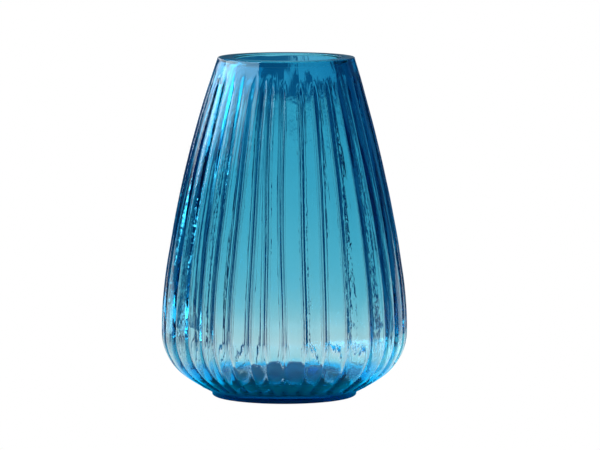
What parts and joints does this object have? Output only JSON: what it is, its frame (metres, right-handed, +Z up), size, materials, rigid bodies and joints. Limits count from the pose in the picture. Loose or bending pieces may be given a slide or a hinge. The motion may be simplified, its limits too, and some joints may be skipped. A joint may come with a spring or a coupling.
{
  "type": "ribbed glass vase",
  "caption": "Tall, wide-mouthed vase of clear blue glass: a mould-blown body with upright ribs that swells low down, a thick ground rim and a heavy disc foot.",
  "frame": {"origin": "centre of the resting ring under the foot, on the surface that the vase stands on", "axes": "+Z up along the vase's axis, out of the mouth; +X to the right and -Y towards the viewer in the pictured view"},
  "size_m": [0.16, 0.16, 0.22],
  "materials": {
    "bowl_glass": "clear blue, fire-polished, with a finely rippled surface",
    "foot_glass": "clear blue in a thick section, so darker, with a ground resting ring"
  },
  "bodies": {
    "root": {"ribbed_bowl": "bowl_glass", "foot_disc": "foot_glass"}
  },
  "joints": []
}
